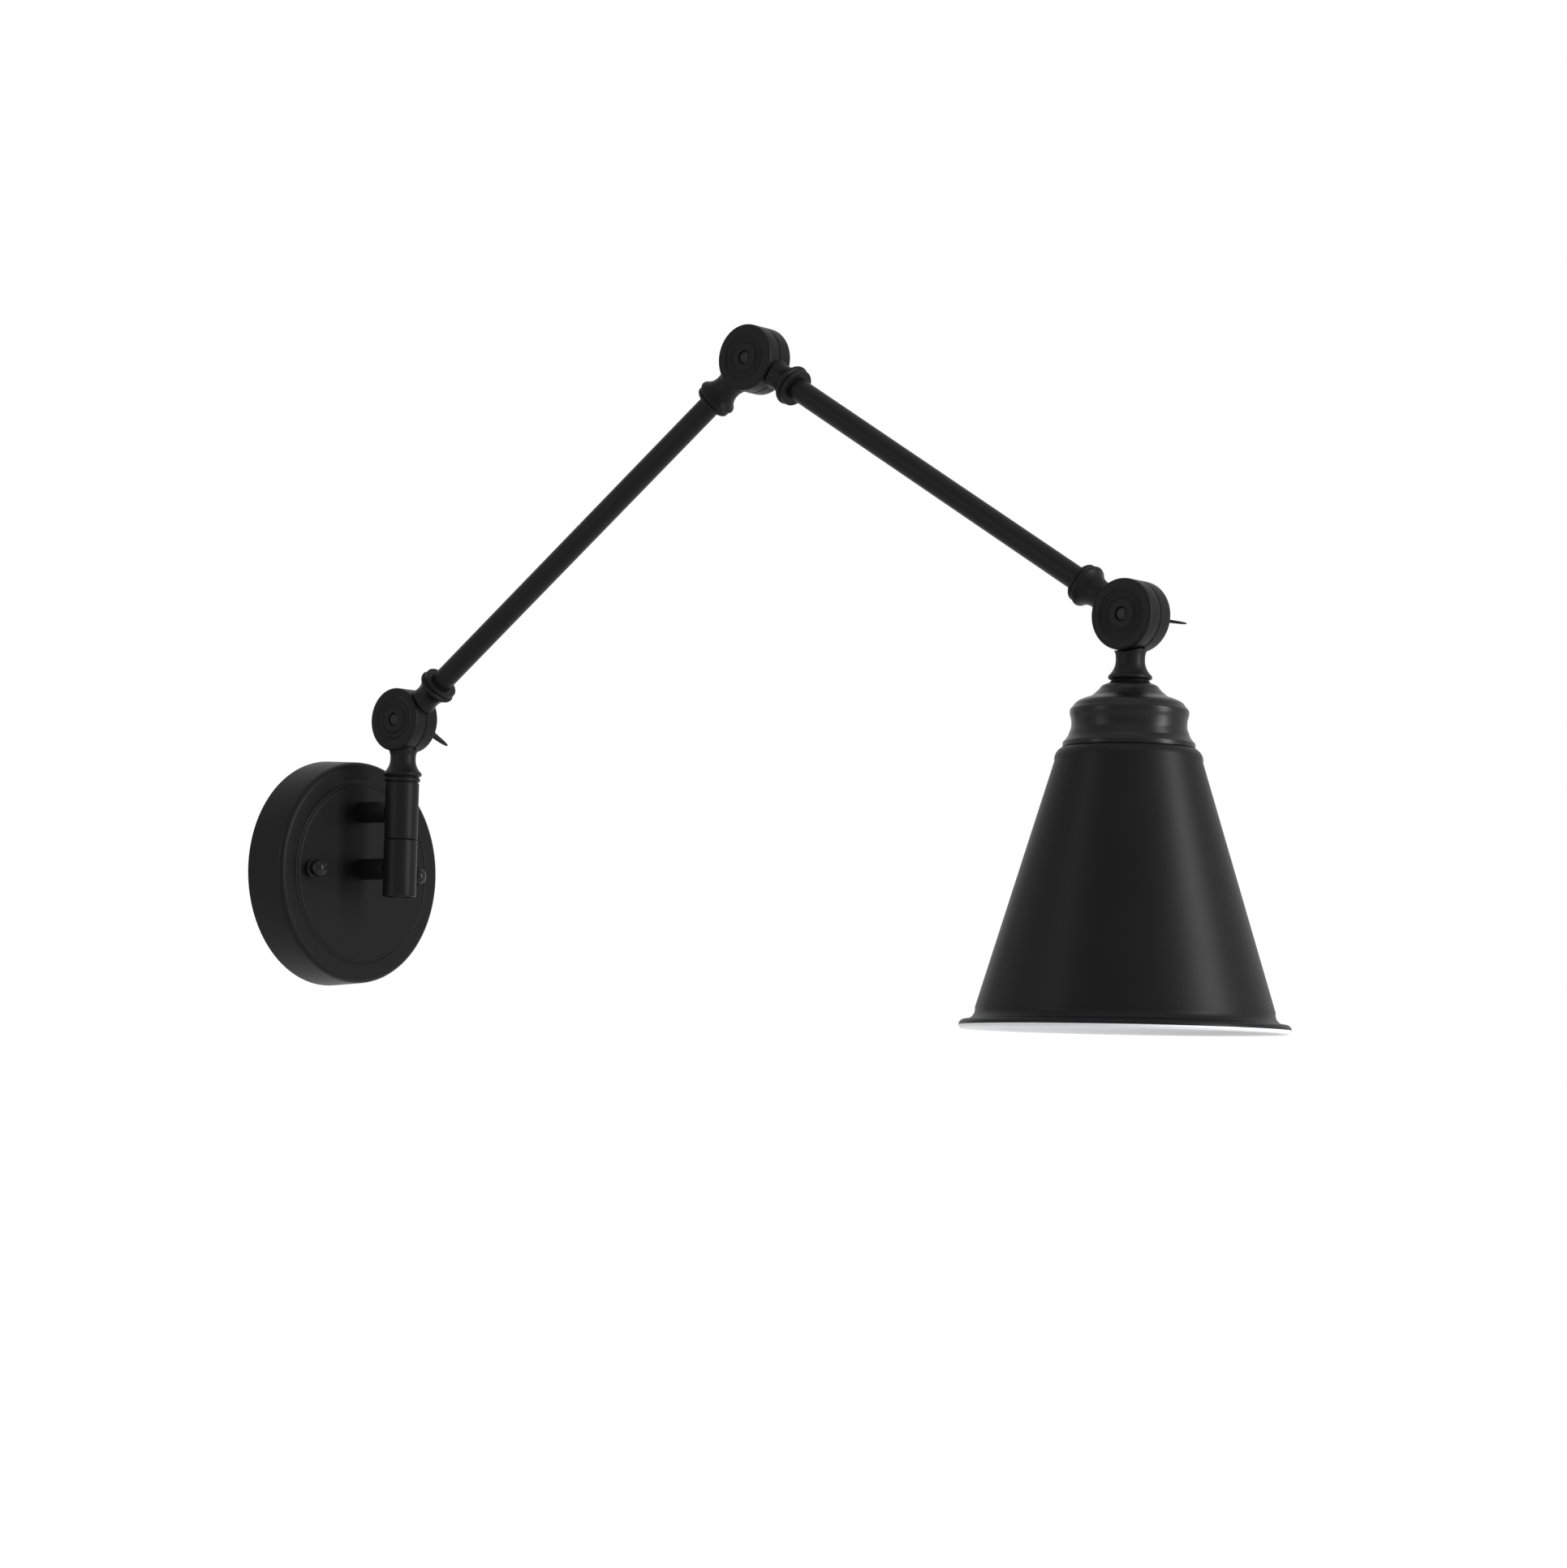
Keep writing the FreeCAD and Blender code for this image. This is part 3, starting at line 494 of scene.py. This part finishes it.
wing = {"hub": 4.9, "hubHeight": 9.0, "seat": 10.2, "bore": 2.6, "root": 3.4, "span": 13.6,
        "foot": 4.6, "climb": 9.0, "width": 3.9, "taper": 2.4, "thickness": 1.8,
        "hubEdge": 5.4, "hubTop": 0.8, "spread": 0.92, "curl": 1.4, "tipStart": 0.72,
        "tipLength": 0.28}


# Hub turned about the pin, and two blades, each a flattened tube whose middle line bends out
# and back from the hub and whose width and thickness shrink to a round tip.
def wingNut(name, node, centre, rise, body):
    way, seat = armWay(rise), wing["seat"]
    third = np.cross(across, way)
    hub = eased([
        (wing["bore"], seat), (wing["hub"], seat), (wing["hub"], seat + wing["hubEdge"]),
        (wing["hub"] * wing["hubTop"], seat + wing["hubHeight"]),
        (wing["bore"], seat + wing["hubHeight"])], [0.3, 1.2, 0.6])
    surfaces = [spun(np.vstack([hub, hub[:1]]), centre, across, up, 64)]
    step = np.linspace(0, 1, 41)[:, None]
    turn = np.linspace(0, 2 * math.pi, 32, endpoint=False)[None, :]
    outMiddle = wing["root"] + wing["span"] * step ** wing["spread"]
    backMiddle = seat + wing["foot"] + wing["climb"] * step ** wing["curl"]
    near = np.clip((step - wing["tipStart"]) / wing["tipLength"], 0, 1)
    tip = np.sqrt(np.clip(1 - near ** 2, 0, 1))
    half = (wing["width"] - wing["taper"] * step) * tip
    thick = wing["thickness"] / 2 * (1.15 - 0.45 * step) * tip ** 0.6
    slope = np.arctan2(np.gradient(backMiddle[:, 0]), np.gradient(outMiddle[:, 0]))[:, None]
    wide = np.sign(np.cos(turn)) * np.abs(np.cos(turn)) ** 0.8 * half
    deep = np.sign(np.sin(turn)) * np.abs(np.sin(turn)) ** 0.6 * thick
    out, back = outMiddle - np.sin(slope) * wide, backMiddle + np.cos(slope) * wide
    for side in (1, -1):
        surfaces.append(ringSurface(centre + side * out[..., None] * way
                                    + back[..., None] * across + deep[..., None] * third))
    addPiece(name, joined(*surfaces), body, [node], [satinBlack])


for label, centre, rise, body in (("wall", wallPoint, -48, "swivel"),
                                  ("elbow", elbowPoint, -45, "lower_arm"),
                                  ("head", headPoint, -8, "upper_arm")):
    addPiece(label + "Screw", screwSurface(centre), body, [label + "_screw"], [smoothBlack])
    wingNut(label + "WingNut", label + "_wing_nut", centre, rise, label + "_wing")
print("knuckles made")

tube = {"radius": 6.0, "bore": 5.0, "start": 26.0}
for label, centre, way, length in (("lower", wallPoint, lowerWay, lamp["lowerLength"]),
                                   ("upper", elbowPoint, upperWay, lamp["upperLength"])):
    start, end = tube["start"], length - tube["start"]
    outline = [(tube["bore"], start), (tube["radius"], start), (tube["radius"], end),
               (tube["bore"], end), (tube["bore"], start)]
    addPiece(label + "Tube", spun(outline, centre, way, across, 72), label + "_arm",
             [label + "_tube"], [satinBlack])
print("arms made")

# Radius and depth under the head knuckle. The outside runs down the crown, round the waist's
# arc and over the foot; the inside runs up again a sheet's thickness away.
cap = {
    "crown": [(5.1, 33.12), (10.6, 33.12), (13.6, 34.4), (15.2, 36.6), (18.6, 39.6),
              (23.2, 41.15), (26.0, 42.6), (27.6, 44.9), (28.9, 46.2), (28.95, 48.2)],
    "crownEase": [0.5, 1.0, 1.0, 1.2, 1.6, 1.6, 1.0, 0.8],
    "waist": ((28.75, 49.2), (32.0, 62.2), 2.0),
    "foot": [(32.2, 62.6), (32.2, 64.5), (31.9, 64.8)],
    "inside": [(31.0, 64.8), (31.0, 62.7), (27.0, 52.3), (27.7, 47.1), (23.7, 43.8),
               (17.5, 40.9), (11.0, 35.1), (5.1, 35.1), (5.1, 33.12)],
    "insideEase": [0.5, 3.0, 1.5, 2.0, 1.0, 1.0, 0.1],
}
capOutline = np.vstack([eased(cap["crown"], cap["crownEase"]), arc(*cap["waist"], 22),
                        cap["foot"], eased(cap["inside"], cap["insideEase"])])
addPiece("shadeCap", spun(capOutline, headPoint, down, across, 160), "shade_head",
         ["shade_cap"], [smoothBlack])

shade = {"hole": 19.4, "top": 64.82, "sheet": 1.0, "collar": 31.4, "collarUnder": 66.4,
         "shoulder": (32.2, 64.82), "shoulderEnd": (36.0, 71.6), "skirt": (72.3, 191.6),
         "whiteSkirt": (71.3, 191.9), "whiteTop": (35.0, 71.9), "rim": 80.1, "bead": 2.3,
         "end": 201.8, "steps": 256}


# Radius and depth of the sheet: outside down to the rolled bead, then the white inside up.
def shadeOutline():
    bead, end, top = shade["bead"], shade["end"], shade["top"]
    hole, collar = shade["hole"], shade["collar"]
    rim = shade["rim"] - bead
    beadEnd = (rim + bead * 0.98, end - bead * 0.8)
    outside = np.vstack([
        [(hole, top), (collar, top)], arc(shade["shoulder"], shade["shoulderEnd"], -1.3, 12),
        arc(shade["skirt"], (rim - 1.3, end - 2 * bead + 0.12), 1.5, 12),
        arc((rim - 0.4, end - 2 * bead), beadEnd, -0.75, 14)])
    white = np.vstack([
        arc(beadEnd, (rim, end), -0.72, 10)[1:], [(rim - 1.2, end - 0.7)],
        arc((rim - 1.9, end - 2.2), shade["whiteSkirt"], -1.2, 12),
        [shade["whiteTop"], (collar, shade["collarUnder"]), (hole, top + shade["sheet"]),
         (hole, top)]])
    return outside, white


outside, white = shadeOutline()
whiteRows = np.arange(len(outside) + len(white) - 1) >= len(outside) - 1
addPiece("shadeCone", spun(np.vstack([outside, white]), headPoint, down, across, shade["steps"]),
         "shade_head", ["shade"], [shadeBlack, shadeWhite],
         marks=np.repeat(whiteRows, shade["steps"]))
print("shade made")

studio = {"floor": -0.62, "floorSide": 9.0, "floorTone": tone(0.85, 0.85, 0.85), "wash": 0.62,
          "world": 0.58, "aim": (0, -0.3, 0.05)}
softBoxes = {
    "leftBox": {"place": (-2.3, 0.5, 0.5), "size": (0.7, 2.0), "power": 14},
    "rightBox": {"place": (0.5, -2.5, 0.5), "size": (0.6, 2.0), "power": 70},
    "topBox": {"place": (-0.9, -0.9, 2.0), "size": (1.6, 1.6), "power": 6},
}


# Pale floor that takes the lamp's shadow; seen by itself it is washed up to white.
def addFloor():
    finish = Finish(bpy.data.materials.new("paleFloor"))
    glow = finish.signal("ShaderNodeEmission", {}, {
        "Color": tone(1, 1, 1), "Strength": finish.seenRays() * studio["wash"]})
    pale = finish.signal("ShaderNodeBsdfDiffuse", {}, {"Color": studio["floorTone"]})
    material = finish.surface(finish.signal("ShaderNodeAddShader", {}, {0: glow, 1: pale}))
    corners = np.array([[-1, -1], [1, -1], [1, 1], [-1, 1]]) * studio["floorSide"]
    mesh = bpy.data.meshes.new("floor")
    mesh.from_pydata(np.column_stack([corners, np.full(4, studio["floor"])]).tolist(), [],
                     [(0, 1, 2, 3)])
    mesh.materials.append(material)
    floor = bpy.data.objects.new("floor", mesh)
    bpy.context.scene.collection.objects.link(floor)


# White where it is seen, and a softer light on the lamp.
def addWorld():
    bpy.context.scene.world = bpy.data.worlds.new("studio")
    finish = Finish(bpy.context.scene.world, "ShaderNodeOutputWorld")
    soft, white = (finish.signal("ShaderNodeBackground", {}, {
        "Color": tone(1, 1, 1), "Strength": strength}) for strength in (studio["world"], 1.0))
    finish.surface(finish.signal("ShaderNodeMixShader", {}, {
        0: finish.seenRays(), 1: soft, 2: white}))


def addSoftBox(name, box):
    light = bpy.data.lights.new(name, "AREA")
    light.shape, light.energy = "RECTANGLE", box["power"]
    light.size, light.size_y = box["size"]
    made = bpy.data.objects.new(name, light)
    bpy.context.scene.collection.objects.link(made)
    made.location = box["place"]
    aim = Vector(studio["aim"]) - Vector(box["place"])
    made.rotation_euler = aim.to_track_quat("-Z", "Y").to_euler()


addFloor()
addWorld()
for name, box in softBoxes.items():
    addSoftBox(name, box)
print("studio made")
